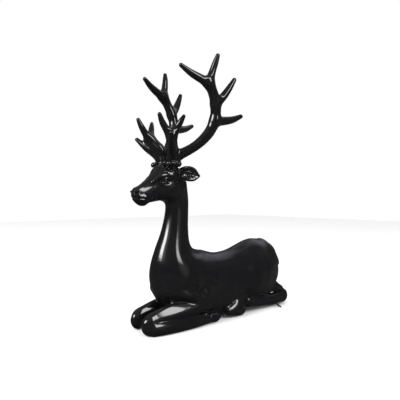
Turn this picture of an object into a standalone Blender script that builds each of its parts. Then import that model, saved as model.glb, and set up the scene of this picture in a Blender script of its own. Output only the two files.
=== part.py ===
"""Cast iron statue of a lying stag: one body casting and two antlers that sit on it.

The head looks towards -X, the left side is -Y, and the statue rests on its flat underside at Z 0.
"""

import math
from collections import namedtuple

import bmesh
import bpy
import numpy as np
from mathutils import Matrix, Vector

NAME = "stag_statue"
MM = 0.001

# Driving dimensions, in millimetres
SEAT_HEIGHT = 474
SEAT_GAP = 0.3
ASLANT_FROM, ASLANT_FULL = -146, -283
ROOT_INWARD, KNEE_OUTWARD, KNEE_SETBACK = -24, 10, 11
BURR_RADIUS = 21
BURR_HALF_HEIGHT = 9

# How finely the forms are made one skin, and the facets left afterwards
BODY_VOXEL, BODY_SOFTENING, BODY_TRIANGLES = 4.0, 6, 6400
ANTLER_VOXEL, ANTLER_SOFTENING, ANTLER_TRIANGLES = 2.8, 3, 1800
SHARP_ANGLE = math.radians(40)

# Roundness of the lofts, balls and tubes
RING_SIDES = 28
BALL_ROWS = 16
PATH_STEPS = 26
DOME_STEPS = 6
TUBE_STEPS = 18
TUBE_BEVEL = 4

ENAMEL_COLOUR = (0.012, 0.012, 0.013)
ENAMEL_ROUGHNESS = 0.12

# Forms are in millimetres, drawn on the centre line or on one side and mirrored. A loft runs
# through oval sections, each x, y, z of its centre, half its height and half its width, and its
# domed ends reach start and end beyond them. A ball has a centre, half sizes and turns in degrees.
Loft = namedtuple("Loft", "start end sections")
Ball = namedtuple("Ball", "centre half turn")

TORSO = Loft(
    start=45,
    end=64,
    sections=[
        (234, 0, 150, 94, 51),
        (205, 0, 139, 109, 62),
        (160, 0, 126, 114, 66),
        (115, 0, 114, 112, 66),
        (60, 0, 105, 106.5, 64.5),
        (-20, 0, 100, 106.5, 63),
        (-95, 0, 107, 101.5, 62),
        (-165, 0, 132, 82, 56),
    ],
)
NECK = Loft(
    start=56,
    end=20,
    sections=[
        (-158, 0, 153, 90, 59),
        (-177, 0, 190, 79, 57),
        (-181, 0, 226, 61, 48),
        (-178, 0, 258, 48.5, 41),
        (-173, 0, 295, 41.5, 34.5),
        (-167, 0, 345, 38, 28.5),
        (-166.5, 0, 385, 37, 28.5),
        (-175, 0, 418, 36, 30),
    ],
)
WITHERS = Loft(
    start=20,
    end=44,
    sections=[
        (-166, 0, 250, 38, 34),
        (-132, 0, 203, 39, 38),
        (-76, 0, 177, 38, 38),
        (-30, 0, 167, 38, 36),
    ],
)
SKULL = Loft(
    start=25,
    end=16,
    sections=[
        (-176, 0, 427, 36, 31),
        (-194, 0, 430, 45, 36),
        (-217, 0, 426, 46, 35),
        (-245, 0, 413, 40, 28),
        (-270, 0, 402, 33, 22),
        (-292, 0, 394.5, 26.5, 19),
        (-308, 0, 391.5, 22.5, 17.5),
    ],
)
EAR = Loft(
    start=8,
    end=4,
    sections=[
        (-182, 28, 454, 9, 13),
        (-172.5, 44, 455.5, 8, 20.5),
        (-163, 60, 452.5, 7.5, 22),
        (-155, 74, 448, 6.5, 16),
        (-150, 83, 446, 3.5, 5),
    ],
)
PEDICLE = Loft(
    start=10,
    end=4,
    sections=[
        (-202, 20, 450, 20, 20),
        (-204, 22, 484, 18.5, 18.5),
    ],
)
UPPER_ARM = Loft(
    start=20,
    end=20,
    sections=[
        (-200, 35, 127, 28, 23),
        (-165, 48, 110, 27, 26),
        (-124, 54, 92, 26, 24),
    ],
)
FOREARM = Loft(
    start=22,
    end=17,
    sections=[
        (-106, 61, 67, 22, 19),
        (-146, 57, 62, 23, 21),
        (-172, 53, 57, 22.5, 21.5),
        (-200, 49, 52.5, 21, 21),
        (-226, 43.5, 49, 19, 20.5),
        (-256, 37.5, 45, 18, 19),
        (-283, 33, 40, 17, 17),
    ],
)
FOREARM_RIDGE = Loft(
    start=14,
    end=9,
    sections=[
        (-140, 50, 68, 15, 14),
        (-190, 46, 70.5, 14, 13),
        (-226, 41, 68, 13, 12),
        (-256, 36, 59.5, 12.5, 11),
        (-278, 32, 52.5, 11, 10),
    ],
)
FORE_CANNON = Loft(
    start=15,
    end=16,
    sections=[
        (-280, 41, 20, 22, 19),
        (-255, 47, 20.5, 22.5, 18.5),
        (-199, 53, 20.5, 22.5, 18),
        (-144, 54, 20.5, 22, 17),
        (-100, 52.5, 18.5, 18, 15),
        (-59, 51, 16, 14, 15),
    ],
)
HIND_CANNON = Loft(
    start=26,
    end=18,
    sections=[
        (282, 42, 30, 26, 18),
        (247, 43, 26.5, 21.5, 17.5),
        (215, 43, 25.5, 21, 17.5),
        (180, 43.5, 29, 20.5, 17.5),
        (142, 44, 32.5, 20.5, 17),
        (95, 46, 38, 20, 17),
    ],
)
HIND_FOOT = Loft(
    start=15,
    end=14,
    sections=[
        (56, 50, 34, 34, 20.5),
        (36, 51, 29, 29, 19.5),
        (15, 51, 25, 19.5, 16.5),
        (2, 51, 22.5, 14.5, 13.5),
    ],
)
THIGH = Loft(
    start=18,
    end=22,
    sections=[
        (66, 42, 107, 24, 23),
        (105, 45, 90, 28, 25),
        (148, 45, 80, 31, 25),
        (192, 42, 84, 31, 22),
    ],
)
SHANK = Loft(
    start=30,
    end=20,
    sections=[
        (170, 42, 88, 40, 24),
        (225, 43, 73, 24, 20),
        (262, 43, 60, 13, 17),
    ],
)
TAIL = Loft(
    start=8,
    end=5,
    sections=[
        (205, 0, 219, 12, 10),
        (238, 0, 209, 17, 15),
        (266, 0, 192, 17.5, 16),
        (288, 0, 168, 13, 13),
        (304, 0, 150, 9.5, 10),
        (314, 0, 137, 5, 6),
    ],
)
BROW = Loft(
    start=4,
    end=4,
    sections=[
        (-266, 22, 430, 4, 5),
        (-243, 28, 446, 5, 6),
        (-222, 31, 449, 5, 6),
        (-205, 30, 446, 4, 5),
    ],
)
SHOULDER = Ball(centre=(-134, 32, 124), half=(72, 33, 68), turn=(0, 0, 0))
ELBOW = Ball(centre=(-107, 50, 88), half=(31, 26, 49), turn=(0, 0, 0))
KNEE = Ball(centre=(-286.5, 34, 28.5), half=(26, 18, 28), turn=(0, 0, 12))
HAUNCH = Ball(centre=(156, 33, 118), half=(90, 40, 76), turn=(0, 12, 0))
FOREHEAD = Ball(centre=(-222, 0, 450), half=(33, 31, 33), turn=(0, 0, 0))
CHEEK = Ball(centre=(-203, 16, 405), half=(38, 20, 27), turn=(0, -14, 0))
CHIN = Ball(centre=(-291, 0, 371.5), half=(16, 12, 11), turn=(0, 0, 0))
EYE = Ball(centre=(-226, 28, 433), half=(9.5, 6.5, 5.5), turn=(0, -14, 8))
CENTRED_FORMS = (TORSO, NECK, SKULL, TAIL, WITHERS, FOREHEAD, CHIN)
PAIRED_FORMS = (
    UPPER_ARM,
    THIGH,
    SHANK,
    HIND_CANNON,
    HIND_FOOT,
    PEDICLE,
    BROW,
    SHOULDER,
    ELBOW,
    HAUNCH,
    CHEEK,
    EYE,
)
FORELEG_FORMS = (FOREARM, FOREARM_RIDGE, KNEE, FORE_CANNON)
EAR_LEAN = (-0.1, -0.07, 1)

# A point of an antler branch is x, y, z and the radius there.
ANTLER = {
    "beam": [
        (-204, 22, 470, 18),
        (-198, 26, 499, 17),
        (-179, 42, 513, 14.8),
        (-155, 63, 530, 13.8),
        (-131, 83, 556, 15),
        (-109, 93, 588, 16),
        (-101, 100, 625, 15.5),
        (-107.5, 106.5, 662, 15),
        (-122, 110, 690, 14.5),
        (-138, 110.5, 714, 14.5),
    ],
    "front_top_tine": [
        (-137, 110.5, 710, 15),
        (-158, 107, 718, 13),
        (-194, 98, 733, 10.5),
        (-222, 90, 750, 6.2),
    ],
    "top_tine": [
        (-137, 110.5, 712, 14.5),
        (-127.5, 115, 745, 11),
        (-120.5, 122, 774, 9.4),
        (-117.5, 127, 790, 6.5),
    ],
    "upper_back_tine": [
        (-108, 106, 655, 14.5),
        (-89.5, 112, 673, 13.5),
        (-68, 121, 703.5, 11),
        (-52, 128.5, 732, 6.8),
    ],
    "lower_back_tine": [
        (-102, 99, 608, 16),
        (-76, 104, 611, 14.5),
        (-42, 111, 618, 11),
        (-11.5, 116, 631, 6.8),
    ],
    "brow_stem": [
        (-200, 23, 494, 18),
        (-206, 28, 522, 17.5),
        (-218, 42, 543, 16.5),
        (-228, 55, 562, 15),
    ],
    "brow_front_tine": [
        (-229, 53, 560, 13),
        (-247, 52.5, 578, 11),
        (-261, 52.5, 598, 8.7),
        (-269, 54, 614, 5.8),
    ],
    "brow_side_tine": [
        (-228, 57, 560, 12.5),
        (-217, 64, 580, 10.5),
        (-208.5, 73, 600, 8.5),
        (-203.5, 79, 613, 5.2),
    ],
    "low_tine": [
        (-204, 24, 494, 17),
        (-216, 40, 513, 13.5),
        (-234, 62, 533, 10.8),
        (-253, 86, 560, 6),
    ],
}


def clear_scene():
    for old in list(bpy.data.objects):
        bpy.data.objects.remove(old, do_unlink=True)


def new_collection(name, hidden=False):
    collection = bpy.data.collections.new(name)
    bpy.context.scene.collection.children.link(collection)
    collection.hide_render = hidden
    return collection


def enamel(name):
    """Glossy black enamel over iron."""
    material = bpy.data.materials.new(name)
    material.use_nodes = True
    shader = material.node_tree.nodes["Principled BSDF"]
    shader.inputs["Base Color"].default_value = (*ENAMEL_COLOUR, 1)
    shader.inputs["Roughness"].default_value = ENAMEL_ROUGHNESS
    shader.inputs["Metallic"].default_value = 0.0
    return material


def smooth_path(sections, count):
    """A smooth run of sections through the given ones, spaced by distance along them."""
    points = np.array(sections, float)
    chords = np.linalg.norm(np.diff(points[:, :3], axis=0), axis=1)
    slopes = np.diff(points, axis=0) / chords[:, None]
    tangents = np.empty_like(points)
    tangents[0], tangents[-1] = slopes[0], slopes[-1]
    share = (chords[:-1] / (chords[:-1] + chords[1:]))[:, None]
    tangents[1:-1] = slopes[:-1] * (1 - share) + slopes[1:] * share
    starts = np.concatenate([[0], np.cumsum(chords)])
    places = np.linspace(0, starts[-1], count)
    piece = np.clip(np.searchsorted(starts, places, side="right") - 1, 0, len(chords) - 1)
    span = chords[piece][:, None]
    t = ((places - starts[piece]) / chords[piece])[:, None]
    return (
        (2 * t**3 - 3 * t**2 + 1) * points[piece]
        + (t**3 - 2 * t**2 + t) * span * tangents[piece]
        + (3 * t**2 - 2 * t**3) * points[piece + 1]
        + (t**3 - t**2) * span * tangents[piece + 1]
    )


def flipped(sections, flip):
    """The sections as they are for flip 1, and on the other side for flip -1."""
    return [(x, y * flip, *rest) for x, y, *rest in sections]


def aslant(form):
    """The form as it is on the right foreleg, turned outwards and with its knee further back."""

    def moved(x, y, *rest):
        share = min(max((ASLANT_FROM - x) / (ASLANT_FROM - ASLANT_FULL), 0), 1)
        outward = ROOT_INWARD + (KNEE_OUTWARD - ROOT_INWARD) * share
        return (x + KNEE_SETBACK * share, y + outward, *rest)

    if isinstance(form, Ball):
        return form._replace(centre=moved(*form.centre))
    return form._replace(sections=[moved(*section) for section in form.sections])


def frames_along(path, side):
    """The centre of each section of a path, with its forward, sideways and upward directions."""
    centres = [Vector(row[:3]) for row in path]
    last = len(centres) - 1
    for index, centre in enumerate(centres):
        along = (centres[min(index + 1, last)] - centres[max(index - 1, 0)]).normalized()
        across = Vector(side)
        across = (across - along * across.dot(along)).normalized()
        yield centre, along, across, across.cross(along)


def dome(ring, reach):
    """Ever smaller copies of an end ring, out to a rounded tip at that reach."""
    centre, along, across, up, high, wide = ring
    for step in range(1, DOME_STEPS):
        angle = math.pi / 2 * step / DOME_STEPS
        size = math.cos(angle)
        yield centre + along * reach * math.sin(angle), along, across, up, high * size, wide * size


def loft(form, flip=1, side=(0, 1, 0)):
    """A closed mesh through a loft's oval sections, with domed ends."""
    path = smooth_path(flipped(form.sections, flip), PATH_STEPS)
    rings = [
        (*frame, high, wide) for frame, (high, wide) in zip(frames_along(path, side), path[:, 3:])
    ]
    first_end = list(dome(rings[0], -form.start))[::-1]
    rings = first_end + rings + list(dome(rings[-1], form.end))
    turns = [2 * math.pi * k / RING_SIDES for k in range(RING_SIDES)]
    shape = bmesh.new()
    loops = []
    for centre, _, across, up, high, wide in rings:
        corners = [centre + across * wide * math.cos(a) + up * high * math.sin(a) for a in turns]
        loops.append([shape.verts.new(corner) for corner in corners])
    for near, far in zip(loops, loops[1:]):
        for k in range(RING_SIDES):
            after = (k + 1) % RING_SIDES
            shape.faces.new((near[k], near[after], far[after], far[k]))
    shape.faces.new(loops[0])
    shape.faces.new(loops[-1])
    return shape


def ball(form, flip=1):
    """An ellipsoid; flip -1 puts it on the other side."""
    turn_x, turn_y, turn_z = (math.radians(angle) for angle in form.turn)
    turned = (
        Matrix.Rotation(turn_z * flip, 4, "Z")
        @ Matrix.Rotation(turn_y, 4, "Y")
        @ Matrix.Rotation(turn_x * flip, 4, "X")
    )
    (centre,) = flipped([form.centre], flip)
    matrix = Matrix.Translation(centre) @ turned @ Matrix.Diagonal((*form.half, 1))
    shape = bmesh.new()
    bmesh.ops.create_uvsphere(
        shape, u_segments=RING_SIDES, v_segments=BALL_ROWS, radius=1, matrix=matrix
    )
    return shape


def branch(points):
    """An antler branch: a curve that tapers by its radius to a round tip, made a mesh."""
    path = smooth_path(points, TUBE_STEPS)
    tip, radius = path[-1][:3], path[-1][3]
    ahead = path[-1][:3] - path[-2][:3]
    ahead /= np.linalg.norm(ahead)
    rows = [tuple(row) for row in path]
    for step in range(1, DOME_STEPS):
        angle = math.pi / 2 * step / DOME_STEPS
        rows.append((*(tip + ahead * radius * math.sin(angle)), radius * math.cos(angle)))
    curve = bpy.data.curves.new("branch", "CURVE")
    curve.dimensions = "3D"
    curve.bevel_depth = 1
    curve.bevel_resolution = TUBE_BEVEL
    curve.use_fill_caps = True
    spline = curve.splines.new("POLY")
    spline.points.add(len(rows) - 1)
    for point, row in zip(spline.points, rows):
        point.co = (*row[:3], 1)
        point.radius = row[3]
    return welded_mesh(curve)


def welded_mesh(curve):
    """The curve's tube with its caps welded on."""
    holder = bpy.data.objects.new(curve.name, curve)
    bpy.context.scene.collection.objects.link(holder)
    bpy.context.view_layer.update()
    graph = bpy.context.evaluated_depsgraph_get()
    mesh = bpy.data.meshes.new_from_object(holder.evaluated_get(graph))
    shape = bmesh.new()
    shape.from_mesh(mesh)
    bmesh.ops.remove_doubles(shape, verts=shape.verts, dist=0.01)
    bpy.data.objects.remove(holder, do_unlink=True)
    bpy.data.curves.remove(curve)
    bpy.data.meshes.remove(mesh)
    return shape


def joined(name, shapes, collection):
    """One object in metres that holds all the shapes, which still pass through each other."""
    mesh = bpy.data.meshes.new(name)
    whole = bmesh.new()
    for shape in shapes:
        bmesh.ops.recalc_face_normals(shape, faces=shape.faces)
        bmesh.ops.scale(shape, vec=(MM, MM, MM), verts=shape.verts)
        shape.to_mesh(mesh)
        whole.from_mesh(mesh)
        shape.free()
    whole.to_mesh(mesh)
    whole.free()
    mesh.materials.append(enamel("enamel_" + name))
    piece = bpy.data.objects.new(name, mesh)
    collection.objects.link(piece)
    return piece


def settle_mesh(piece):
    """Puts the modifiers' result in the object's own mesh."""
    bpy.context.view_layer.update()
    graph = bpy.context.evaluated_depsgraph_get()
    mesh = bpy.data.meshes.new_from_object(piece.evaluated_get(graph))
    old = piece.data
    piece.modifiers.clear()
    piece.data = mesh
    mesh.name = piece.name
    bpy.data.meshes.remove(old)


def fuse(piece, voxel, softening, triangles):
    """One skin of the overlapping shapes, soft where they meet, in about that many facets."""
    remesh = piece.modifiers.new("one skin", "REMESH")
    remesh.mode = "VOXEL"
    remesh.voxel_size = voxel * MM
    soften = piece.modifiers.new("soften", "SMOOTH")
    soften.factor = 0.5
    soften.iterations = softening
    settle_mesh(piece)
    piece.data.calc_loop_triangles()
    lighten = piece.modifiers.new("lighten", "DECIMATE")
    lighten.ratio = triangles / len(piece.data.loop_triangles)
    lighten.use_collapse_triangulate = True
    settle_mesh(piece)
    piece.data.shade_smooth()
    piece.data.set_sharp_from_angle(angle=SHARP_ANGLE)


def cut(piece, name, low, high, collection):
    """Cuts the box between two corners, in millimetres, out of the piece."""
    shape = bmesh.new()
    size = Vector(high) - Vector(low)
    place = Matrix.Translation((Vector(high) + Vector(low)) / 2) @ Matrix.Diagonal((*size, 1))
    bmesh.ops.create_cube(shape, size=1, matrix=Matrix.Scale(MM, 4) @ place)
    mesh = bpy.data.meshes.new(name)
    shape.to_mesh(mesh)
    shape.free()
    cutter = bpy.data.objects.new(name, mesh)
    collection.objects.link(cutter)
    cutter.hide_render = True
    cutter.display_type = "WIRE"
    boolean = piece.modifiers.new(name, "BOOLEAN")
    boolean.operation = "DIFFERENCE"
    boolean.solver = "EXACT"
    boolean.object = cutter


def shaped(form, flip=1):
    return loft(form, flip) if isinstance(form, Loft) else ball(form, flip)


def make_body(collection, cutters):
    shapes = [shaped(form) for form in CENTRED_FORMS]
    for flip in (-1, 1):
        shapes += [shaped(form, flip) for form in PAIRED_FORMS]
        forelegs = FORELEG_FORMS if flip == -1 else map(aslant, FORELEG_FORMS)
        shapes += [shaped(form, flip) for form in forelegs]
        forward, sideways, upward = EAR_LEAN
        shapes.append(loft(EAR, flip, side=(forward, sideways * flip, upward)))
    body = joined("body", shapes, collection)
    fuse(body, BODY_VOXEL, BODY_SOFTENING, BODY_TRIANGLES)
    cut(body, "ground", (-1000, -1000, -1000), (1000, 1000, 0), cutters)
    cut(body, "antler_seats", (-300, -100, SEAT_HEIGHT), (-100, 100, SEAT_HEIGHT + 100), cutters)
    return body


def make_antler(name, flip, collection, cutters):
    shapes = [branch(flipped(points, flip)) for points in ANTLER.values()]
    base_x, base_y, *_ = ANTLER["beam"][0]
    burr = Ball(
        centre=(base_x, base_y, SEAT_HEIGHT + BURR_HALF_HEIGHT / 2),
        half=(BURR_RADIUS, BURR_RADIUS, BURR_HALF_HEIGHT),
        turn=(0, 0, 0),
    )
    shapes.append(ball(burr, flip))
    antler = joined(name, shapes, collection)
    fuse(antler, ANTLER_VOXEL, ANTLER_SOFTENING, ANTLER_TRIANGLES)
    cut(antler, name + "_foot", (-400, -300, 300), (100, 300, SEAT_HEIGHT + SEAT_GAP), cutters)
    return antler


def stand_at_origin(pieces):
    """Parents the pieces to an empty and centres their joint box over the origin."""
    bpy.context.view_layer.update()
    graph = bpy.context.evaluated_depsgraph_get()
    corners = [Vector(c) for piece in pieces for c in piece.evaluated_get(graph).bound_box]
    holder = bpy.data.objects.new(NAME, None)
    bpy.context.scene.collection.objects.link(holder)
    for axis in (0, 1):
        values = [corner[axis] for corner in corners]
        holder.location[axis] = -(min(values) + max(values)) / 2
    for piece in pieces:
        piece.parent = holder


def main():
    clear_scene()
    statue = new_collection(NAME)
    cutters = new_collection("cutters", hidden=True)
    body = make_body(statue, cutters)
    left = make_antler("antler_left", -1, statue, cutters)
    right = make_antler("antler_right", 1, statue, cutters)
    stand_at_origin((body, left, right))


main()
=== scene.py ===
"""Looks of the cast iron stag statue: its finely modelled castings, bead collars and black enamel.

Forms are drawn in millimetres with the head towards -X, the stag's left side at -Y and the ground
at Z 0, as part.py draws them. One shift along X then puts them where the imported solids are. What
comes in pairs is drawn on the right side, at +Y, and mirrored.
"""

import math
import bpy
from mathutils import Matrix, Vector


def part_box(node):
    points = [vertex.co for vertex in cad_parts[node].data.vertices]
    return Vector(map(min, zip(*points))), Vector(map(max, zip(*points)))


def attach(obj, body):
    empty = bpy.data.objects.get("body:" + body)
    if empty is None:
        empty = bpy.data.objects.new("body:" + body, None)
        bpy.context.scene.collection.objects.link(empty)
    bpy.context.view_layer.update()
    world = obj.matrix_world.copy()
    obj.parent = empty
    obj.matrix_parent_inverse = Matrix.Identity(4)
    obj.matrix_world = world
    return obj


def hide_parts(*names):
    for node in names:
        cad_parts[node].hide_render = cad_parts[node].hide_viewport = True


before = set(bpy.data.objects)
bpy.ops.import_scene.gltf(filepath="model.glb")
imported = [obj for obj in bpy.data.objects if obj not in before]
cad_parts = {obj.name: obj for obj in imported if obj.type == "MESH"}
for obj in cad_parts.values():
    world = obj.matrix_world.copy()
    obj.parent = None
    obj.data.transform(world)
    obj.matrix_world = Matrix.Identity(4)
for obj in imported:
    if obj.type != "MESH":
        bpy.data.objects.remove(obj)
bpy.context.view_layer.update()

from concurrent.futures import ThreadPoolExecutor

import bpy
import numpy as np
from mathutils import Vector

MM = 0.001

# Shared with the solids: where the antlers sit, and the burr at the foot of each
ANTLER_X, ANTLER_Y = -204, 22
SEAT_HEIGHT, SEAT_GAP = 474, 0.3
BURR_RADIUS, BURR_HALF_HEIGHT = 21, 9

# The right foreleg lies aslant: from where to where that grows, and how far its ends are moved
ASLANT_FROM, ASLANT_FULL = -146, -283
ROOT_INWARD, KNEE_OUTWARD, KNEE_SETBACK = -24, 10, 11

# Lofts: how finely they are sampled, and how the sample nearest to a point is found
TABLE = 400  # samples along a loft
FAIRING = 16  # samples over which waves are evened out
SEARCH = 8  # samples skipped in the first look, and the most that one step then moves
SEARCH_STEPS = 4
LAST = TABLE - 1.001  # just short of the last sample

# Melts wider than GENTLE are gentle ones, which reach further by GENTLE_REACH
GENTLE, GENTLE_REACH = 11, 1.5

# How finely the castings are drawn
BODY_STEP, ANTLER_STEP = 3.6, 1.9
COARSE = 8  # small cells along the side of the first, coarse ones
KEEP = 1.25  # cells this many half diagonals from the skin are split on
REACH = 66.0  # a form isn't looked at further off than this
CHUNK = 40000  # points that are worked on together
EASING = 2  # rounds of evening out
PROBE = 0.4  # distance over which a slope is measured
LEAST_SLOPE, FURTHEST = 0.1, 2  # limits of a settling step
TINY = 1e-9

# Lowest and highest corners of what is drawn, and of what is drawn finer, in two turns, on either
# side of the body: the head and the front hooves, then the eyes and the mouth
BODY_BOX = ((-345, -130, -9), (345, 130, 500))
ANTLER_BOX = ((-290, -10, 460), (20, 150, 815))
FINE = [((-345, 0, 365), (-120, 130, 500)), ((-115, 20, -9), (-30, 80, 45))]
FINEST = [((-264, 18, 414), (-204, 45, 446)), ((-345, 0, 376), (-262, 30, 406))]

# Beads: the turn from one to the next, in radians, which lines none of them up, and their shapes
GOLDEN_TURN = 2.39996
BEAD_SEED = 7
BEAD_OVALS = (0.82, 0.82, 0.7), (1.12, 1.12, 1.0)

# The enamel's two blacks, the dust and painted sheen that lighten its upper faces, and the iron
# where it is worn through
DEEP_BLACK, SOFT_BLACK = (0.003, 0.003, 0.0035), (0.0055, 0.0053, 0.0056)
DUST_AND_SHEEN, BARE_IRON = (0.022, 0.021, 0.021), (0.045, 0.041, 0.038)
# Their patterns, in waves to a metre
PATCH_SCALE, SWELL_SCALE, DUST_AND_SHEEN_SCALE, PEEL_SCALE, GRAIN_SCALE = 17, 30, 60, 260, 420

# The floor's paint
PAINT_SHADE, PAINT_LIGHT = (0.88, 0.88, 0.88), (0.92, 0.92, 0.92)
PAINT_CLOUDS, PAINT_GRAIN, PAINT_RELIEF = 3, 300, 0.0004
FLOOR_HALF = 6

# The camera, in metres from the forms' origin, and the way it looks, seen from above. Its focal
# length and the horizon's row are in pixels of a picture that is PICTURE wide.
CAMERA_PLACE = (-0.9443, -1.0004, 0.383)
CAMERA_EAST, CAMERA_NORTH = 0.6561, 0.7547
PICTURE, FOCAL_LENGTH, HORIZON_ROW = 400, 420, 198
FILM_WIDTH = 36

# How bright the room is by the height of the direction, from straight down, 0, to straight up, 1
ROOM_LEVELS = [
    (0.0, 0.01), (0.09, 0.04), (0.2, 0.1), (0.35, 0.15), (0.47, 0.14), (0.52, 0.08), (0.62, 0.1),
    (0.75, 0.2), (0.88, 0.42), (1.0, 0.34),
]
ROOM_TINT = (1, 1, 1.04)
CLUTTER, CLUTTER_SCALE, CLUTTER_STRENGTH = (0.03, 0.03, 0.035), 5, 0.6
# Patches of the room: azimuth and elevation, the degrees from there within which a patch is full
# and past which it is gone, its strength and its colour
ROOM_PATCHES = [
    ((-50, 30), (8, 38), 0.7, (0.11, 0.11, 0.12)),  # a dark wall to the left of the rump
    ((5, 43), (3, 27), 0.9, (0.85, 0.86, 0.98)),  # a cool glow high behind the rump
    ((10, -12), (5, 30), 0.7, (0.06, 0.06, 0.06)),  # a dark stretch low behind the rump
    ((-78, 13), (4, 17), 0.9, (0.5, 0.5, 0.52)),  # a dim stretch under the strip light
]

FLAT = np.array((1, 0, 1), np.float32)
SIDEWAYS = np.array((0, 1, 0), np.float32)
MIRROR = np.array((1, -1, 1), np.float32)


def smooth_path(sections, count):
    """A smooth run of sections through the given ones, spaced by distance along them."""
    points = np.array(sections, float)
    chords = np.linalg.norm(np.diff(points[:, :3], axis=0), axis=1)
    slopes = np.diff(points, axis=0) / chords[:, None]
    tangents = np.empty_like(points)
    tangents[0], tangents[-1] = slopes[0], slopes[-1]
    share = (chords[:-1] / (chords[:-1] + chords[1:]))[:, None]
    tangents[1:-1] = slopes[:-1] * (1 - share) + slopes[1:] * share
    starts = np.concatenate([[0], np.cumsum(chords)])
    places = np.linspace(0, starts[-1], count)
    piece = np.clip(np.searchsorted(starts, places, side="right") - 1, 0, len(chords) - 1)
    span = chords[piece][:, None]
    t = ((places - starts[piece]) / chords[piece])[:, None]
    return (
        (2 * t**3 - 3 * t**2 + 1) * points[piece]
        + (t**3 - 2 * t**2 + t) * span * tangents[piece]
        + (3 * t**2 - 2 * t**3) * points[piece + 1]
        + (t**3 - t**2) * span * tangents[piece + 1]
    )


def faired(path, window, passes=3):
    """The path with its small waves evened out over a window of samples, its ends kept."""
    even = np.ones(2 * window + 1) / (2 * window + 1)
    for _ in range(passes):
        before = 2 * path[0] - path[window:0:-1]
        after = 2 * path[-1] - path[-2 : -window - 2 : -1]
        longer = np.vstack([before, path, after])
        path = np.stack([np.convolve(column, even, "valid") for column in longer.T], 1)
    return path


def unit(vectors):
    return vectors / np.linalg.norm(vectors, axis=-1, keepdims=True)


def folded(points):
    """The points with those of the left side mirrored over to the right one."""
    return np.abs(points * SIDEWAYS) + points * FLAT


def from_oval(offsets, halves):
    """About how far points are from an ellipsoid's skin, by their offsets along its half sizes."""
    one = np.sqrt(sum((offset / half) ** 2 for offset, half in zip(offsets, halves)))
    two = np.sqrt(sum((offset / half**2) ** 2 for offset, half in zip(offsets, halves)))
    return (one - 1) * one / np.maximum(two, TINY)


def melted(one, other, blend):
    """The nearer of two surfaces, melted together where they come within blend of each other.

    Gentle melts start so softly that no edge of them shows in a reflection.
    """
    power, reach = (3, blend * GENTLE_REACH) if blend > GENTLE else (2, blend)
    share = np.maximum(reach - np.abs(one - other), 0) / reach
    return np.minimum(one, other) - share**power * (reach / (2 * power))


class Form:
    """A shape known by how far a point is from its skin: below 0 inside, above 0 outside."""

    def set_box(self, low, high):
        self.low = np.asarray(low, np.float32) - REACH
        self.high = np.asarray(high, np.float32) + REACH

    def near(self, points):
        return ((points > self.low) & (points < self.high)).all(1)


class Loft(Form):
    """Oval sections on a smooth line, each x, y, z, half height and half width; domed ends.

    Its table has a row for each sample along the line: its place and direction, the directions of
    the height and of the width there, and half of each.
    """

    PLACE, ALONG, HIGH, WIDE = slice(0, 3), slice(3, 6), slice(6, 9), slice(9, 12)
    HALF_HEIGHT, HALF_WIDTH = 12, 13
    COLUMNS = 14

    def __init__(self, sections, start, end, side=(0, 1, 0)):
        path = faired(smooth_path(sections, TABLE), FAIRING)
        centre = path[:, :3]
        along = unit(np.gradient(centre, axis=0))
        side = np.array(side, float)
        across = unit(side - along * (along @ side)[:, None])
        self.table = np.hstack([centre, along, np.cross(across, along), across, path[:, 3:]])
        self.table = self.table.astype(np.float32)
        self.marks = centre[::SEARCH].astype(np.float32)
        self.mark_weights = (self.marks**2).sum(1) / 2
        self.per_mm = (TABLE - 1) / np.linalg.norm(np.diff(centre, axis=0), axis=1).sum()
        self.start, self.end = start, end
        reach = path[:, 3:].max(1)[:, None]
        tips = [centre[0] - along[0] * start, centre[-1] + along[-1] * end]
        rim = np.vstack([centre - reach, centre + reach, tips])
        self.set_box(rim.min(0), rim.max(0))

    def look(self, place, columns):
        """The first columns of the table at places between its rows."""
        row = place.astype(np.int32)
        part = (place - row)[:, None]
        table = self.table[:, :columns]
        return table[row] * (1 - part) + table[row + 1] * part

    def distance(self, points):
        score = points @ self.marks.T - self.mark_weights
        place = score.argmax(1).astype(np.float32) * SEARCH
        for _ in range(SEARCH_STEPS):
            seen = self.look(np.minimum(place, LAST), self.ALONG.stop)
            gap = points - seen[:, self.PLACE]
            ahead = (gap * seen[:, self.ALONG]).sum(1) * self.per_mm
            place = np.clip(place + np.clip(ahead, -SEARCH, SEARCH), 0, LAST).astype(np.float32)
        seen = self.look(place, self.COLUMNS)
        gap = points - seen[:, self.PLACE]
        along, high, wide = (
            (gap * seen[:, way]).sum(1) for way in (self.ALONG, self.HIGH, self.WIDE)
        )
        at_an_end = (place <= 0.5) | (place >= LAST - 0.5)
        dome = np.where(place < 1, np.float32(self.start), np.float32(self.end))
        offsets = np.where(at_an_end, along, 0), high, wide
        return from_oval(offsets, (dome, seen[:, self.HALF_HEIGHT], seen[:, self.HALF_WIDTH]))


class Ball(Form):
    """An ellipsoid: centre, half sizes, and turns in degrees about x, y and z."""

    def __init__(self, centre, half, turn=(0, 0, 0)):
        x, y, z = np.radians(turn)
        about_x = [[1, 0, 0], [0, np.cos(x), -np.sin(x)], [0, np.sin(x), np.cos(x)]]
        about_y = [[np.cos(y), 0, np.sin(y)], [0, 1, 0], [-np.sin(y), 0, np.cos(y)]]
        about_z = [[np.cos(z), -np.sin(z), 0], [np.sin(z), np.cos(z), 0], [0, 0, 1]]
        self.turned = (np.array(about_z) @ about_y @ about_x).astype(np.float32)
        self.centre, self.half = np.array(centre, np.float32), np.array(half, np.float32)
        extent = np.sqrt(((self.turned * self.half) ** 2).sum(1))
        self.set_box(self.centre - extent, self.centre + extent)

    def distance(self, points):
        return from_oval(((points - self.centre) @ self.turned).T, self.half)


class Paired(Form):
    """A form and its mirror image on the other side."""

    def __init__(self, form):
        self.form = form
        self.low, self.high = form.low.copy(), form.high.copy()
        self.low[1] = -self.high[1]

    def distance(self, points):
        return self.form.distance(folded(points))


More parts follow.
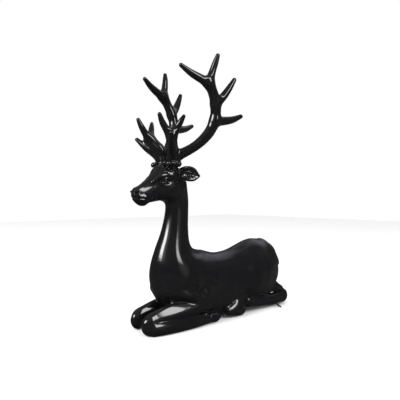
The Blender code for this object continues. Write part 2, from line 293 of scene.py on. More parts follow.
class Flipped(Form):
    """A form moved over to the other side."""

    def __init__(self, form):
        self.form = form
        self.low, self.high = form.low.copy(), form.high.copy()
        self.low[1], self.high[1] = -form.high[1], -form.low[1]

    def distance(self, points):
        return self.form.distance(points * MIRROR)


class Cluster(Form):
    """Forms melted together one after the other, given as pairs of a form and its blend."""

    def __init__(self, *members):
        self.members = members
        self.low = np.min([form.low for form, _ in members], axis=0)
        self.high = np.max([form.high for form, _ in members], axis=0)

    def distance(self, points):
        skin = np.full(len(points), REACH, np.float32)
        for form, blend in self.members:
            near = form.near(points)
            if near.any():
                skin[near] = melted(skin[near], form.distance(points[near]), blend)
        return skin


class Carved(Form):
    """A form with others cut out of it, given as pairs of a form and how round its edge is."""

    def __init__(self, form, *cuts):
        self.form, self.cuts = form, cuts
        self.low, self.high = form.low, form.high

    def distance(self, points):
        skin = self.form.distance(points)
        for form, blend in self.cuts:
            near = form.near(points)
            if near.any():
                skin[near] = -melted(-skin[near], form.distance(points[near]), blend)
        return skin


class Above(Form):
    """A form cut off level at a height."""

    def __init__(self, form, height):
        self.form, self.height = form, height
        self.low, self.high = form.low, form.high

    def distance(self, points):
        return np.maximum(self.form.distance(points), self.height - points[:, 2])


def cord(points, side=(0, 1, 0)):
    """A round loft through x, y, z, radius points: a branch, a ridge or a groove to cut."""
    ovals = [(x, y, z, radius, radius) for x, y, z, radius in points]
    return Loft(ovals, ovals[0][3], ovals[-1][3], side)


# Trunk, neck, head and tail
TORSO = Loft(
    [
        (234, 0, 150, 94, 51), (205, 0, 139, 109, 62), (160, 0, 126, 114, 66),
        (115, 0, 114, 112, 66), (60, 0, 105, 106.5, 64.5), (-20, 0, 99.5, 105.5, 63),
        (-95, 0, 104.5, 97.5, 62), (-165, 0, 132, 82, 56),
    ],
    45, 64,
)
NECK = Loft(
    [
        (-158, 0, 153, 90, 59), (-177, 0, 190, 79, 57), (-181, 0, 226, 61, 48),
        (-178, 0, 258, 48.5, 41), (-173, 0, 295, 41.5, 34.5), (-167, 0, 345, 38, 28.5),
        (-166.5, 0, 385, 37, 28.5), (-175, 0, 418, 36, 30),
    ],
    56, 20,
)
SKULL = Loft(
    [
        (-176, 0, 427, 36, 31), (-194, 0, 430, 45, 36), (-217, 0, 426, 46, 35),
        (-245, 0, 413, 40, 28), (-270, 0, 402, 33, 22), (-292, 0, 394.5, 26.5, 19),
        (-308, 0, 391.5, 22.5, 17.5),
    ],
    25, 16,
)
PEDICLE = Loft([(-202, 20, 450, 20, 20), (ANTLER_X, ANTLER_Y, 484, 18.5, 18.5)], 10, 4)
TAIL = Loft(
    [
        (205, 0, 219, 12, 10), (238, 0, 209, 17, 15), (266, 0, 192, 17.5, 16),
        (288, 0, 168, 13, 13), (304, 0, 150, 9.5, 10), (314, 0, 137, 5, 6),
    ],
    8, 5,
)
WITHERS = Ball((-126, 0, 150), (130, 48, 74))
PECTORAL = Ball((-216, 27, 118), (25, 26, 20))
SHOULDER = Ball((-134, 31, 132), (72, 31, 60))
ELBOW = Ball((-106, 50, 88), (29, 26, 48))
HAUNCH = Ball((156, 33, 118), (90, 40, 76), (0, 12, 0))
FOREHEAD = Ball((-222, 0, 450), (33, 31, 33))
CHEEK = Ball((-203, 16, 405), (38, 20, 27), (0, -14, 0))
CHIN = Ball((-291, 0, 371.5), (16, 12, 11))
LIP_PAD = Loft([(-307, 13, 385, 9, 6), (-291, 15.5, 384.5, 11, 8), (-272, 17, 388, 9, 6)], 8, 9)
BROW = Loft(
    [(-266, 22, 430, 4, 5), (-243, 28, 446, 5, 6), (-222, 31, 449, 5, 6), (-205, 30, 446, 4, 5)],
    4, 4,
)

# Upper arm and hind leg
UPPER_ARM = Loft(
    [(-208, 36, 113, 20, 22), (-165, 50, 99, 20.5, 26), (-128, 54, 76, 21, 24)], 20, 20
)
THIGH = Loft(
    [(66, 42, 107, 24, 23), (105, 45, 90, 28, 25), (148, 45, 80, 31, 25), (192, 42, 84, 31, 22)],
    18, 22,
)
SHANK = Loft([(170, 42, 88, 40, 24), (225, 43, 73, 24, 20), (262, 43, 60, 13, 17)], 30, 20)
HIND_CANNON = Loft(
    [
        (282, 42, 30, 26, 18), (247, 43, 26.5, 21.5, 17.5), (215, 43, 25.5, 21, 17.5),
        (180, 43.5, 29, 20.5, 17.5), (142, 44, 32.5, 20.5, 17), (95, 46, 38, 20, 17),
    ],
    26, 18,
)
HIND_FOOT = Loft(
    [
        (56, 50, 34, 34, 20.5), (36, 51, 29, 29, 19.5), (15, 51, 25, 19.5, 16.5),
        (2, 51, 22.5, 14.5, 13.5),
    ],
    15, 14,
)
HIND_LEG = Cluster((HIND_CANNON, 1), (HIND_FOOT, 4), (SHANK, 2))

# A thin curved spur under the near hock, on that side alone
SPUR = cord([(238, -47, 16, 5), (236, -58, 8, 3.4), (231.5, -72, 4.6, 2.8), (228, -83, 4, 2.6)])

# Carving of the face
SOCKET = Ball((-230, 38, 432), (15, 8, 9.5), (0, -10, 7))
EYEBALL = Ball((-229.5, 26.2, 431.6), (9.8, 8, 7), (0, -10, 7))
UPPER_LID = cord(
    [
        (-246, 28, 427, 1.4), (-238.5, 31.5, 435.3, 2.1), (-229.5, 33.2, 438.6, 2.5),
        (-219.5, 33.4, 437.4, 2.1), (-211, 31.8, 432.5, 1.4),
    ]
)
LOWER_LID = cord(
    [
        (-246, 28, 427, 1.2), (-238.5, 31.6, 425.8, 1.7), (-229.5, 33, 424.6, 1.9),
        (-220, 33.4, 426.6, 1.7), (-211, 31.8, 432.5, 1.2),
    ]
)
TEAR_FOLD = cord([(-247, 28.5, 426, 1.3), (-255, 26.3, 421, 2.0), (-262, 24, 416.5, 1.1)])
NOSTRIL = cord(
    [
        (-323, 9.5, 395.5, 1.6), (-318.5, 14, 396, 2.7), (-313, 16.8, 398.5, 2.2),
        (-309.5, 17.6, 400, 1.0),
    ]
)
NOSTRIL_RIM = cord(
    [
        (-325.5, 5.5, 398.5, 1.2), (-320.5, 11, 401.2, 2.2), (-313, 15.2, 403.2, 2.0),
        (-306.5, 18, 400.5, 1.0),
    ]
)
LIP_LINE = cord(
    [
        (-325.5, 0, 384.5, 1.5), (-318, 11, 382.6, 1.7), (-302, 20, 381, 1.9),
        (-286, 22.5, 381, 1.8), (-271, 22, 385, 1.2),
    ]
)
MUZZLE_FURROW = cord([(-326.5, 0, 398, 1.2), (-326.5, 0, 386, 1.4)], (0, 1, 0.01))

FACE = Cluster(
    (SKULL, 1), (FOREHEAD, 14), (Paired(CHEEK), 16), (CHIN, 12), (Paired(LIP_PAD), 4),
    (Paired(BROW), 6),
)
CARVED_FACE = Carved(
    FACE, (Paired(SOCKET), 5), (Paired(NOSTRIL), 1.5), (Paired(LIP_LINE), 2),
    (Paired(TEAR_FOLD), 2), (MUZZLE_FURROW, 1.5),
)
HEAD = Cluster(
    (CARVED_FACE, 1), (Paired(EYEBALL), 1), (Paired(UPPER_LID), 2.5), (Paired(LOWER_LID), 2.5),
    (Paired(NOSTRIL_RIM), 2.5),
)

# The ear opens forwards and outwards, with two folds inside
EAR_LEAN = (-0.1, -0.07, 1)
EAR = Loft(
    [
        (-182, 28, 454, 9, 13), (-172.5, 44, 455.5, 8, 20.5), (-163, 60, 452.5, 7.5, 22),
        (-155, 74, 448, 6.5, 16), (-150, 83, 446, 3.5, 5),
    ],
    8, 4, EAR_LEAN,
)
EAR_HOLLOW = Loft(
    [
        (-178.5, 47.5, 456.5, 6, 12), (-169.4, 63.8, 453.5, 7.3, 17.5),
        (-159.6, 78.3, 448.5, 6, 12), (-154, 84, 446, 3.5, 6),
    ],
    5, 4, EAR_LEAN,
)
EAR_FOLD = cord([(-174, 48, 458, 1.5), (-166, 62, 457, 2.4), (-157, 76, 451, 1.3)], EAR_LEAN)
EAR_CREASE = cord(
    [(-174, 48, 450, 1.3), (-166.5, 60, 446.5, 2.1), (-159, 72, 444.5, 1.2)], EAR_LEAN
)
HOLLOW_EAR = Cluster((Carved(EAR, (EAR_HOLLOW, 3)), 1), (EAR_FOLD, 3), (EAR_CREASE, 3))


def straight(x, y):
    return x, y


def aslant(x, y):
    """Where a point of the right foreleg lies: turned outwards, with its knee further back."""
    share = min(max((ASLANT_FROM - x) / (ASLANT_FROM - ASLANT_FULL), 0), 1)
    return x + KNEE_SETBACK * share, y + ROOT_INWARD + (KNEE_OUTWARD - ROOT_INWARD) * share


def foreleg(place):
    """A foreleg on the right side: forearm, knee, cannon and a cleft foot with its claws."""

    def along(sections, start, end, side=(0, 1, 0)):
        return Loft([(*place(x, y), *rest) for x, y, *rest in sections], start, end, side)

    def round_at(x, y, z, half, turn=(0, 0, 0)):
        return Ball((*place(x, y), z), half, turn)

    forearm = along(
        [
            (-106, 61, 67, 22, 19), (-146, 57, 62, 23, 21), (-172, 53, 57, 22.5, 21.5),
            (-200, 49, 52.5, 21, 21), (-226, 43.5, 49, 19, 20.5), (-256, 37.5, 45, 18, 19),
            (-283, 33, 40, 17, 17),
        ],
        22, 17,
    )
    ridge = along(
        [
            (-140, 50, 68, 14, 13), (-190, 46, 69.5, 13, 12), (-226, 41, 67, 12, 11),
            (-256, 36, 58.5, 11.5, 10), (-278, 32, 51.5, 10, 9),
        ],
        14, 9,
    )
    knee = round_at(-286.5, 34, 28.5, (26, 18, 28), (0, 0, 12))
    cannon = along(
        [
            (-280, 41, 20, 22, 19), (-255, 47, 20.5, 22.5, 18.5), (-199, 53, 20.5, 22.5, 18),
            (-144, 54, 20.5, 22, 17), (-100, 52.5, 18.5, 18, 15), (-59, 51, 17, 13, 14),
        ],
        15, 16,
    )
    toes = round_at(-62, 51, 15.5, (25, 15.5, 15), (0, 3, 0))
    claws = [round_at(-101, y, 31, (9, 5.5, 6.5), (0, 20, 0)) for y in (60, 45)]
    cleft = round_at(-45, 51, 17, (25, 1.7, 24))
    coronet = along(
        [
            (-88, 32.5, 14, 1.6, 1.6), (-86, 40.5, 29, 1.8, 1.8), (-85, 51, 32, 1.8, 1.8),
            (-86, 61.5, 29, 1.8, 1.8), (-88, 69.5, 14, 1.6, 1.6),
        ],
        1.6, 1.6, (1, 0, 0),
    )
    whole = Cluster(
        (forearm, 1), (ridge, 14), (knee, 8), (cannon, 2.5), (toes, 5),
        *[(claw, 3) for claw in claws],
    )
    return Carved(whole, (cleft, 3), (coronet, 2))


STAG = Cluster(
    (TORSO, 1), (NECK, 44), (WITHERS, 24), (Paired(SHOULDER), 26), (Paired(HAUNCH), 18),
    (Paired(THIGH), 12), (Paired(PECTORAL), 7), (Paired(UPPER_ARM), 6), (HEAD, 24),
    (Paired(PEDICLE), 12), (Paired(HOLLOW_EAR), 8), (Paired(ELBOW), 6),
    (Flipped(foreleg(straight)), 5), (foreleg(aslant), 5), (Paired(HIND_LEG), 2), (TAIL, 3),
    (SPUR, 3),
)

# The antler: its beam, its seven tines and the stem that two of them stand on
ANTLER_BRANCHES = {
    "beam": [
        (-204, 22, 470, 18), (-198, 26, 499, 17), (-179, 42, 513, 14.8), (-155, 63, 530, 13.8),
        (-131, 83, 556, 15), (-109, 93, 588, 16), (-101, 100, 625, 15.5),
        (-107.5, 106.5, 662, 15), (-122, 110, 690, 14.5), (-138, 110.5, 714, 14.5),
    ],
    "front_top_tine": [
        (-139, 110.5, 710, 12.5), (-158, 107, 718, 12.4), (-194, 98, 733, 9.8),
        (-222, 90, 750, 6.2),
    ],
    "top_tine": [
        (-136, 110.5, 711, 12.5), (-127.5, 115, 745, 10.2), (-120.5, 122, 774, 8.4),
        (-117.5, 127, 790, 6.2),
    ],
    "upper_back_tine": [
        (-108, 106, 655, 12.5), (-89.5, 112, 673, 12), (-68, 121, 703.5, 10),
        (-52, 128.5, 732, 6.5),
    ],
    "lower_back_tine": [
        (-102, 99, 608, 14), (-76, 104, 611, 13), (-42, 111, 618, 10.4), (-11.5, 116, 631, 6.6),
    ],
    "brow_stem": [
        (-200, 23, 490, 12), (-206, 28, 522, 17.5), (-218, 42, 543, 16.5), (-228, 55, 562, 15),
    ],
    "brow_front_tine": [
        (-229, 53, 560, 12), (-247, 52.5, 578, 10.3), (-261, 52.5, 598, 8.4),
        (-269, 54, 614, 5.8),
    ],
    "brow_side_tine": [
        (-228, 56, 560, 11.5), (-217, 64, 580, 9.8), (-208.5, 73, 600, 8),
        (-203.5, 79, 613, 5.2),
    ],
    "low_tine": [
        (-204, 24, 494, 14), (-216, 40, 513, 12.8), (-234, 62, 533, 10.4), (-253, 86, 560, 6),
    ],
}
BRANCH_SIDE = (0.3, 1, 0.1)  # a direction that no branch runs along
TINE_BLEND = 12
BURR = Ball(
    (ANTLER_X, ANTLER_Y, SEAT_HEIGHT + BURR_HALF_HEIGHT / 2),
    (BURR_RADIUS, BURR_RADIUS, BURR_HALF_HEIGHT),
)

# Coarse pearls of the burr: direction round the foot in degrees, distance from its middle,
# height and radius; small where they come near the other antler
PEARLS = [
    (143, 27, 480.5, 8), (104, 24.5, 482, 6.4), (72, 25.5, 480, 7.4), (36, 24, 482.5, 6.2),
    (2, 25, 480, 7.2), (-30, 23, 482.5, 5.4), (-58, 20, 480, 4.9), (-92, 14.5, 481.5, 4.5),
    (-136, 20.5, 480.5, 5.8), (177, 25, 483, 6.2),
]


def pearl(turn, away, height, radius):
    """A pearl of the burr, a little taller than wide."""
    turn = math.radians(turn)
    centre = (ANTLER_X + away * math.cos(turn), ANTLER_Y + away * math.sin(turn), height)
    return Ball(centre, (radius, radius, radius * 1.1))


ANTLER = Cluster(
    *[
        (cord(points, BRANCH_SIDE), 1 if name == "beam" else TINE_BLEND)
        for name, points in ANTLER_BRANCHES.items()
    ],
    (BURR, 4),
    *[(pearl(*sizes), 4) for sizes in PEARLS],
)


# Drawing a form as a mesh
def spread(form, points):
    """The form's distances at many points, worked out in parallel."""
    points = np.ascontiguousarray(points, np.float32)
    parts = [points[i : i + CHUNK] for i in range(0, len(points), CHUNK)]
    with ThreadPoolExecutor() as pool:
        return np.concatenate(list(pool.map(form.distance, parts)))


def lattice(count):
    return np.stack(np.meshgrid(*[np.arange(count)] * 3, indexing="ij"), -1).reshape(-1, 3)


def skin_cells(form, low, high, step):
    """The small cells near the form's skin, found by splitting the ones that may hold it."""
    size = COARSE
    counts = np.ceil((np.asarray(high) - low) / (step * size)).astype(int)
    cells = np.stack(np.meshgrid(*[np.arange(n) for n in counts], indexing="ij"), -1)
    cells = cells.reshape(-1, 3)
    while size > 1:
        centres = low + (cells + 0.5) * (step * size)
        kept = np.abs(spread(form, centres)) < step * size * math.sqrt(3) / 2 * KEEP
        cells = (cells[kept][:, None] * 2 + lattice(2)).reshape(-1, 3)
        size //= 2
    return cells, counts * COARSE + 2


def drawn(form, box, step):
    """A mesh of quads round the form: one point for each cell that its skin crosses."""
    low, high = np.asarray(box, float)
    cells, span = skin_cells(form, low, high, step)
    corners = lattice(2)

    def key(cell):
        return (cell[:, 0] * span[1] + cell[:, 1]) * span[2] + cell[:, 2]

    used, back = np.unique(key((cells[:, None] + corners).reshape(-1, 3)), return_inverse=True)
    place = np.stack([used // (span[1] * span[2]), used // span[2] % span[1], used % span[2]], 1)
    value = spread(form, low + place * step)[back].reshape(-1, 8)
    crossed = (value < 0).any(1) & (value >= 0).any(1)
    cells, value = cells[crossed], value[crossed]
    total, hits = np.zeros((len(cells), 3)), np.zeros(len(cells))
    for one in range(8):
        for other in range(one + 1, 8):
            if np.abs(corners[one] - corners[other]).sum() == 1:
                a, b = value[:, one], value[:, other]
                cut = (a < 0) != (b < 0)
                part = np.where(cut, a / np.where(cut, a - b, 1), 0)[:, None]
                between = corners[one] + (corners[other] - corners[one]) * part
                total += between * cut[:, None]
                hits += cut
    points = low + (cells + total / hits[:, None]) * step
    keys = key(cells)
    order = np.argsort(keys)
    ordered = keys[order]

    def point_of(cell):
        wanted = key(cell)
        at = np.clip(np.searchsorted(ordered, wanted), 0, len(ordered) - 1)
        return np.where(ordered[at] == wanted, order[at], -1)

    ways = np.eye(3, dtype=int)
    quads = []
    for axis in range(3):
        a, b = value[:, 0], value[:, (corners == ways[axis]).all(1).argmax()]
        cut = (a < 0) != (b < 0)
        cell = cells[cut]
        one, other = ways[(axis + 1) % 3], ways[(axis + 2) % 3]
        quad = [point_of(c) for c in (cell, cell - one, cell - one - other, cell - other)]
        quad = np.stack(quad, 1)
        inward = a[cut] >= 0
        quad[inward] = quad[inward][:, ::-1]
        quads.append(quad[(quad >= 0).all(1)])
    return points, np.concatenate(quads)


def eased(points, quads):
    """Evens out the mesh: each point moves halfway to the middle of its neighbours."""
    start, end = quads.ravel(), np.roll(quads, -1, axis=1).ravel()
    links = np.concatenate([start, end]), np.concatenate([end, start])
    count = np.bincount(links[0], minlength=len(points))
    for _ in range(EASING):
        middle = [np.bincount(links[0], points[links[1], k], len(points)) for k in range(3)]
        points = (points + np.stack(middle, 1) / count[:, None]) / 2
    return points


def settled(form, points, rounds=2):
    """Pulls the points on to the form's skin along its slope."""
    for _ in range(rounds):
        here = spread(form, points)
        ahead = [spread(form, points + PROBE * np.eye(3)[k]) for k in range(3)]
        slope = (np.stack(ahead, 1) - here[:, None]) / PROBE
        step = here / np.maximum((slope**2).sum(1), LEAST_SLOPE)
        points = points - slope * np.clip(step, -FURTHEST, FURTHEST)[:, None]
    return points


def split(points, quads, chosen):
    """Splits the chosen quads in four; one beside them only gains the new points on its edges."""
    count = len(points)
    ends = np.sort(np.stack([quads, np.roll(quads, -1, axis=1)], 2), axis=2)
    codes = ends[..., 0].astype(np.int64) * count + ends[..., 1]
    halved = np.unique(codes[chosen])
    middles = (points[halved // count] + points[halved % count]) / 2
    faces = quads[chosen]
    centres = points[faces].mean(1)
    at = np.clip(np.searchsorted(halved, codes), 0, len(halved) - 1)
    new = np.where(halved[at] == codes, at + count, -1)
    hub = count + len(halved) + np.arange(len(faces))
    inner = new[chosen]
    small = [
        np.stack([faces[:, k], inner[:, k], hub, inner[:, k - 1]], 1) for k in range(4)
    ]
    beside = ~chosen & (new >= 0).any(1)
    plain = quads[~chosen & ~beside]
    many = [
        [v for pair in zip(quad, extra) for v in pair if v >= 0]
        for quad, extra in zip(quads[beside].tolist(), new[beside].tolist())
    ]
    return np.concatenate([points, middles, centres]), np.concatenate([*small, plain]), many


def inside(boxes, points):
    """Which of the points lie in one of the boxes, taking both sides of the body as one."""
    beside = folded(points)
    return np.any([((beside > low) & (beside < high)).all(1) for low, high in boxes], axis=0)


def refined(form, points, quads, boxes):
    """Splits what lies in the boxes and settles it anew; also gives the faces of many corners."""
    points, quads, many = split(points, quads, inside(boxes, points[quads].mean(1)))
    near = inside(boxes, points)
    points[near] = settled(form, points[near])
    return points, quads, many


def casting(name, points, quads, many=()):
    """A smooth mesh object of the points, in metres and shifted to where the solids are."""
    mesh = bpy.data.meshes.new(name)
    faces = quads.tolist() + list(many)
    mesh.from_pydata(((points + (shift, 0, 0)) * MM).tolist(), [], faces)
    mesh.validate()
    mesh.shade_smooth()
    piece = bpy.data.objects.new(name, mesh)
    bpy.context.scene.collection.objects.link(piece)
    return piece


# The antler, and the shift along X that puts it where its solid is
antler_form = Above(ANTLER, SEAT_HEIGHT + SEAT_GAP)
antler_points, antler_quads = drawn(antler_form, ANTLER_BOX, ANTLER_STEP)
antler_points = settled(antler_form, eased(antler_points, antler_quads))
low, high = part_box("antler_right")
shift = (low.x + high.x) / 2 / MM - (antler_points[:, 0].min() + antler_points[:, 0].max()) / 2

# The body, which stands on the ground
body_form = Above(STAG, 0)
body_points, body_quads = drawn(body_form, BODY_BOX, BODY_STEP)
body_points = settled(body_form, eased(body_points, body_quads), 1)
body_points, body_quads, head_edge = refined(body_form, body_points, body_quads, FINE)
body_points, body_quads, eye_edge = refined(body_form, body_points, body_quads, FINEST)


# Node trees, written as Python expressions
class Wire:
    """A socket that Python's own operators work on: each of them adds a Math node."""

    def __init__(self, graph, socket):
        self.graph, self.socket = graph, socket

    def __add__(self, other):
        return self.graph.maths("ADD", self, other)

    def __sub__(self, other):
        return self.graph.maths("SUBTRACT", self, other)

    def __rsub__(self, other):
        return self.graph.maths("SUBTRACT", other, self)

    def __mul__(self, other):
        return self.graph.maths("MULTIPLY", self, other)

    def __truediv__(self, other):
        return self.graph.maths("DIVIDE", self, other)

    __radd__, __rmul__ = __add__, __mul__

    def between(self, low, high):
        """0 below low, 1 above high, and smooth between them."""
        return self.graph.node(
            "ShaderNodeMapRange", {"Value": self, "From Min": low, "From Max": high},
            interpolation_type="SMOOTHSTEP",
        )


class Graph:
    """A node tree that nodes are added to."""

    def __init__(self, tree):
        self.tree = tree

    def node(self, kind, sockets=(), output=0, stops=(), **settings):
        """Adds a node: its settings first, then the values or links of its sockets."""
        made = self.tree.nodes.new(kind)
        for name, value in settings.items():
            setattr(made, name, value)
        for count, (place, colour) in enumerate(stops):
            ramp = made.color_ramp.elements
            stop = ramp[count] if count < 2 else ramp.new(place)
            stop.position, stop.color = place, (*colour, 1)
        self.feed(made, sockets)
        return Wire(self, made.outputs[output])

    def feed(self, made, sockets):
        """Sets or links a node's sockets; a list is several links to one of them."""
        for name, value in dict(sockets).items():
            if isinstance(value, (Wire, list)):
                for wire in value if isinstance(value, list) else [value]:
                    self.tree.links.new(wire.socket, made.inputs[name])
            else:
                made.inputs[name].default_value = value

    def maths(self, operation, *values):
        return self.node("ShaderNodeMath", dict(enumerate(values)), operation=operation)

    def part(self, vector, axis):
        """One of a vector's X, Y and Z."""
        return self.node("ShaderNodeSeparateXYZ", {0: vector}, axis)

    def noise(self, place, scale, detail):
        """Cloudy values round 0.5, scale of them to a metre."""
        return self.node(
            "ShaderNodeTexNoise", {"Vector": place, "Scale": scale, "Detail": detail}
        )

    def colours(self, share, one, other):
        """Goes from one colour to the other as the share goes from 0 to 1."""
        one, other = (ink if isinstance(ink, Wire) else (*ink, 1) for ink in (one, other))
        return self.node("ShaderNodeMix", {0: share, 6: one, 7: other}, 2, data_type="RGBA")


def new_material(name):
    """A material, the graph of its nodes, its Principled shader and the place on the object."""
    material = bpy.data.materials.new(name)
    material.use_nodes = True
    graph = Graph(material.node_tree)
    place = graph.node("ShaderNodeTexCoord", output="Object")
    return material, graph, material.node_tree.nodes["Principled BSDF"], place


# Finish
def enamel(name, edge, peel=0.022, swell=0.16):
    """Glossy black enamel on a casting: sunk waves, orange peel, dust and a painted sheen on top,
    and worn edges.

    It is worn where the skin is bent more sharply than edge says, from 0.5, flat, to 1. The
    orange peel and the waves have their heights in millimetres.
    """
    material, graph, shader, place = new_material(name)
    shape = graph.node("ShaderNodeNewGeometry", output="Pointiness")
    normal = graph.node("ShaderNodeNewGeometry", output="Normal")
    upward = graph.part(normal, "Z").between(0.55, 1.0)
    patches = graph.noise(place, PATCH_SCALE, 3)
    grain = graph.noise(place, GRAIN_SCALE, 2)
    worn = (shape + (grain - 0.5) * 0.05).between(edge, edge + 0.1) * patches.between(0.35, 0.6)
    # Upward faces are lightened in cloudy patches: partly dust, partly a painted sheen that stands
    # in for the reflection along the back
    dust_and_sheen = upward * graph.noise(place, DUST_AND_SHEEN_SCALE, 4).between(0.3, 0.8)
    coat = graph.colours(patches, DEEP_BLACK, SOFT_BLACK)
    dust_and_sheen_coat = graph.colours(dust_and_sheen * 0.5, coat, DUST_AND_SHEEN)
    colour = graph.colours(worn * 0.6, dust_and_sheen_coat, BARE_IRON)
    rough = 0.05 + patches * 0.04 + dust_and_sheen * 0.05 + worn * 0.14
    height = graph.noise(place, PEEL_SCALE, 2) * peel + graph.noise(place, SWELL_SCALE, 1) * swell
    bump = graph.node("ShaderNodeBump", {"Height": height, "Distance": MM, "Strength": 1.0})
    graph.feed(shader, {"Base Color": colour, "Roughness": rough, "Normal": bump})
    return material


def pale_paint(name):
    """Matt white paint on a smooth floor, a little cloudy and very finely rough."""
    material, graph, shader, place = new_material(name)
    clouds = graph.noise(place, PAINT_CLOUDS, 4)
    tint = graph.colours(clouds, PAINT_SHADE, PAINT_LIGHT)
    bump = graph.node(
        "ShaderNodeBump",
        {"Height": graph.noise(place, PAINT_GRAIN, 3), "Distance": PAINT_RELIEF, "Strength": 0.3},
    )
    graph.feed(shader, {"Base Color": tint, "Roughness": 0.78 + clouds * 0.2, "Normal": bump})
    return material


body_enamel = enamel("body_enamel", 0.57)
antler_enamel = enamel("antler_enamel", 0.66, peel=0.01, swell=0.1)
body = casting("stag_casting", body_points, body_quads, head_edge + eye_edge)
left = casting("antler_left_casting", antler_points * MIRROR, antler_quads[:, ::-1])
right = casting("antler_right_casting", antler_points, antler_quads)
for piece, node in ((body, "body"), (left, "antler_left"), (right, "antler_right")):
    piece.data.materials.append(body_enamel if piece == body else antler_enamel)
    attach(piece, "root")
    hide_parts(node)


# Small beads set on the castings
def bead_tree():
    """Beads on two mirrored rings, pressed on to the nearest skin of one or two castings."""
    tree = bpy.data.node_groups.new("bead_collar", "GeometryNodeTree")
    sockets = [
        ("Casting", "Object"), ("Twin", "Object"), ("Count", "Int"), ("Middle", "Vector"),
        ("Ring", "Float"), ("Climb", "Float"), ("Smallest", "Float"), ("Largest", "Float"),
        ("Finish", "Material"),
    ]
    for name, kind in sockets:
        tree.interface.new_socket(name, in_out="INPUT", socket_type="NodeSocket" + kind)
    tree.interface.new_socket("Geometry", in_out="OUTPUT", socket_type="NodeSocketGeometry")
    graph = Graph(tree)
    given = tree.nodes.new("NodeGroupInput").outputs

    def wire(name):
        return Wire(graph, given[name])

    # Beads come in pairs, one on either side, and each pair is turned on from the one before
    index = graph.node("GeometryNodeInputIndex")
    pair = graph.maths("FLOOR", index * 0.5)
    side = (index - pair * 2) * 2 - 1
    turn = pair * GOLDEN_TURN
    x, y, z = (graph.part(wire("Middle"), axis) for axis in "XYZ")
    east = graph.maths("COSINE", turn) * wire("Ring")
    north = graph.maths("SINE", turn) * wire("Ring")
    climb = pair / wire("Count") * 2 * wire("Climb")
    place = graph.node("ShaderNodeCombineXYZ", {0: x + east, 1: (y + north) * side, 2: z + climb})

    skins = [
        graph.node(
            "GeometryNodeObjectInfo", {"Object": wire(name)}, "Geometry",
            transform_space="RELATIVE",
        )
        for name in ("Casting", "Twin")
    ]
    skin = graph.node("GeometryNodeJoinGeometry", {0: skins})
    seat = graph.node("GeometryNodeProximity", {0: skin, "Sample Position": place})
    points = graph.node("GeometryNodePoints", {"Count": wire("Count"), "Position": seat})
    bead = graph.node("GeometryNodeMeshIcoSphere", {"Radius": 1.0, "Subdivisions": 2})
    size = graph.node(
        "FunctionNodeRandomValue",
        {"Seed": BEAD_SEED, 2: wire("Smallest"), 3: wire("Largest")}, 1, data_type="FLOAT",
    )
    oval = graph.node(
        "FunctionNodeRandomValue", {"Seed": BEAD_SEED + 1, 0: BEAD_OVALS[0], 1: BEAD_OVALS[1]},
        data_type="FLOAT_VECTOR",
    )
    scale = graph.node("ShaderNodeVectorMath", {0: oval, 3: size}, operation="SCALE")
    beads = graph.node(
        "GeometryNodeInstanceOnPoints", {"Points": points, "Instance": bead, "Scale": scale}
    )
    plain = graph.node("GeometryNodeRealizeInstances", {"Geometry": beads})
    smooth = graph.node("GeometryNodeSetShadeSmooth", {"Geometry": plain})
    done = graph.node("GeometryNodeSetMaterial", {"Geometry": smooth, "Material": wire("Finish")})
    graph.feed(tree.nodes.new("NodeGroupOutput"), {"Geometry": done})
    return tree


def bead_collar(name, tree, height, **inputs):
    """A plain mesh of the beads that the tree makes round the antlers' feet, from the inputs."""
    inputs["middle"] = ((ANTLER_X + shift) * MM, ANTLER_Y * MM, height)
    holder = bpy.data.objects.new(name, bpy.data.meshes.new(name))
    bpy.context.scene.collection.objects.link(holder)
    modifier = holder.modifiers.new("beads", "NODES")
    modifier.node_group = tree
    for socket in tree.interface.items_tree:
        if socket.in_out == "INPUT":
            modifier[socket.identifier] = inputs[socket.name.lower()]
    ready = holder.evaluated_get(bpy.context.evaluated_depsgraph_get())
    mesh = bpy.data.meshes.new_from_object(ready)
    holder.modifiers.clear()
    holder.data = mesh
    mesh.name = name
    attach(holder, "root")


tree = bead_tree()
bead_collar(
    "pedicle_beads", tree, height=0.451, casting=body, twin=body, count=56, ring=0.025,
    climb=0.02, smallest=0.0024, largest=0.0041, finish=body_enamel,
)
bead_collar(
    "burr_beads", tree, height=0.487, casting=right, twin=left, count=44, ring=0.022,
    climb=0.004, smallest=0.0016, largest=0.0028, finish=body_enamel,
)

# Studio: a pale floor that the enamel doesn't mirror
scene = bpy.context.scene
mesh = bpy.data.meshes.new("floor")
corners = [(x * FLOOR_HALF, y * FLOOR_HALF, 0) for x, y in ((-1, -1), (1, -1), (1, 1), (-1, 1))]
mesh.from_pydata(corners, [], [(0, 1, 2, 3)])
mesh.materials.append(pale_paint("pale_floor"))
floor = bpy.data.objects.new("floor", mesh)
floor.visible_glossy = False
scene.collection.objects.link(floor)

camera = bpy.data.cameras.new("camera")
camera.lens, camera.sensor_width = FOCAL_LENGTH / PICTURE * FILM_WIDTH, FILM_WIDTH
camera.clip_start, camera.clip_end = 0.05, 50
eye = bpy.data.objects.new("camera", camera)
scene.collection.objects.link(eye)
eye.location = (CAMERA_PLACE[0] + shift * MM, *CAMERA_PLACE[1:])
pitch = math.atan((PICTURE / 2 - HORIZON_ROW) / FOCAL_LENGTH)
level, sunk = math.cos(pitch), math.sin(pitch)
forward = Vector((CAMERA_EAST * level, CAMERA_NORTH * level, -sunk))
eye.rotation_mode = "QUATERNION"
eye.rotation_quaternion = forward.to_track_quat("-Z", "Y")
scene.camera = eye
scene.view_settings.view_transform = "Standard"


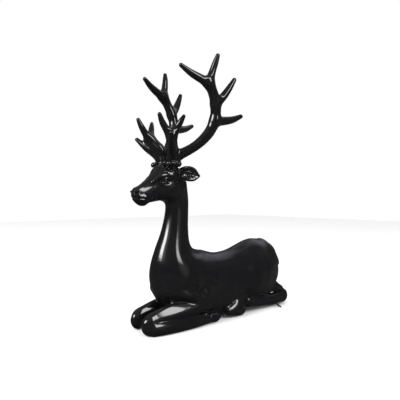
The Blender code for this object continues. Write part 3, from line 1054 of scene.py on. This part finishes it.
def softbox(name, place, target, size, radiance, fade):
    """A rectangular light of the given radiance that fades out over a share of its sides."""
    light = bpy.data.lights.new(name, "AREA")
    light.shape = "RECTANGLE"
    light.size, light.size_y = size
    light.energy = radiance * math.pi * size[0] * size[1]
    light.use_nodes = True
    graph = Graph(light.node_tree)
    spot = graph.node("ShaderNodeNewGeometry", output="Parametric")
    across, along = (graph.maths("ABSOLUTE", graph.part(spot, axis) - 0.5) for axis in "XY")
    strength = (1 - across.between(0.5 - fade[0], 0.5)) * (1 - along.between(0.5 - fade[1], 0.5))
    graph.feed(light.node_tree.nodes["Emission"], {"Strength": strength})
    lamp = bpy.data.objects.new(name, light)
    scene.collection.objects.link(lamp)
    lamp.location = place
    lamp.rotation_mode = "QUATERNION"
    lamp.rotation_quaternion = (Vector(target) - Vector(place)).to_track_quat("-Z", "Y")


softbox(
    "right_strip", place=(0.13, -2.145, 2.29), target=(-0.1, 0.155, 1.24), size=(0.8, 2.75),
    radiance=12, fade=(0.3, 0.14),
)
softbox(
    "left_window", place=(-4.6, 0.16, 3.0), target=(-0.1, 0, 0.3), size=(3.0, 2.5), radiance=20,
    fade=(0.3, 0.3),
)
softbox(
    "left_halo", place=(-2.3, -0.1, 1.45), target=(-0.1, 0, 0.3), size=(3.6, 1.3), radiance=1.6,
    fade=(0.45, 0.4),
)

# Glossy rays see the room. To the camera and to matt surfaces the world is plain white.
world = bpy.data.worlds.new("studio")
world.use_nodes = True
graph = Graph(world.node_tree)
ray = graph.node("ShaderNodeTexCoord", output="Generated")


def towards(azimuth, elevation, full, gone):
    """1 within full degrees of a direction, and less and less up to gone degrees off."""
    turn, climb = math.radians(azimuth), math.radians(elevation)
    aim = (math.cos(climb) * math.cos(turn), math.cos(climb) * math.sin(turn), math.sin(climb))
    share = graph.node(
        "ShaderNodeVectorMath", {0: ray, 1: aim}, "Value", operation="DOT_PRODUCT"
    )
    return share.between(math.cos(math.radians(gone)), math.cos(math.radians(full)))


stops = [(place, [level * tint for tint in ROOM_TINT]) for place, level in ROOM_LEVELS]
room = graph.node("ShaderNodeValToRGB", {0: graph.part(ray, "Z") * 0.5 + 0.5}, stops=stops)
clear = graph.noise(ray, CLUTTER_SCALE, 3).between(0.42, 0.6)
room = graph.colours((1 - clear) * CLUTTER_STRENGTH, room, CLUTTER)
for direction, extent, strength, colour in ROOM_PATCHES:
    room = graph.colours(towards(*direction, *extent) * strength, room, colour)
mirrored = graph.node("ShaderNodeBackground", {"Color": room})
behind = graph.node("ShaderNodeBackground", {"Color": (1, 1, 1, 1)})
glossy = graph.node("ShaderNodeLightPath", output="Is Glossy Ray")
both = graph.node("ShaderNodeMixShader", {0: glossy, 1: behind, 2: mirrored})
graph.feed(world.node_tree.nodes["World Output"], {"Surface": both})
scene.world = world
